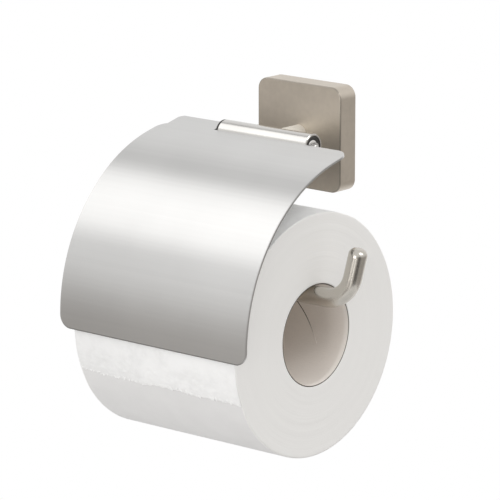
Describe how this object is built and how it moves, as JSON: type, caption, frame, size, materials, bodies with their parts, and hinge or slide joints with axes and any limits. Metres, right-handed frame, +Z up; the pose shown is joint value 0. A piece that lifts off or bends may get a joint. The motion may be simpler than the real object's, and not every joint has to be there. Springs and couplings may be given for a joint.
{
  "type": "toilet paper holder",
  "caption": "Wall-mounted toilet paper holder: square wall plate, bent roll arm with an upturned end, hinged curved metal cover over a paper roll.",
  "frame": {"origin": "middle of the wall plate's back face, on the wall plane", "axes": "+X to the right along the wall, +Y into the wall, +Z up; the room is on the -Y side"},
  "size_m": [0.1392, 0.1156, 0.1611],
  "materials": {
    "satin_nickel": "warm satin nickel plating",
    "zinc_steel": "bright zinc plating",
    "dark_steel": "blackened steel",
    "bright_nickel": "polished nickel",
    "black_plastic": "matt black",
    "bright_steel": "turned steel",
    "brushed_cover": "fine brushing across the cover",
    "satin_arm": "satin nickel plating",
    "core_board": "grey-brown spiral wound board",
    "roll_paper": "soft white embossed tissue, loosely wound"
  },
  "bodies": {
    "holder": {"wall_plate": "satin_nickel", "wall_bracket": "zinc_steel", "set_screw": "dark_steel", "neck": "bright_nickel", "neck_screw": "zinc_steel", "neck_washer": "zinc_steel", "hinge_tube": "bright_nickel", "hinge_bush_right": "black_plastic", "hinge_bush_left": "black_plastic", "roll_arm": "satin_arm"},
    "cover_flap": {"cover": "brushed_cover", "hinge_lug_right": "brushed_cover", "hinge_lug_left": "brushed_cover", "hinge_pin_right": "bright_steel", "hinge_pin_left": "bright_steel"},
    "paper": {"core_tube": "core_board", "paper_roll": "roll_paper", "tail_sheet": "roll_paper"}
  },
  "joints": [
    {"name": "cover_hinge", "type": "hinge", "parent": "holder", "child": "cover_flap", "pos_m": [0, -0.036, 0.002], "axis": [-1, 0, 0], "range_deg": [0, 132]},
    {"name": "roll_spin", "type": "hinge", "parent": "holder", "child": "paper", "pos_m": [0, -0.05735, -0.07949], "axis": [1, 0, 0], "continuous": true}
  ]
}
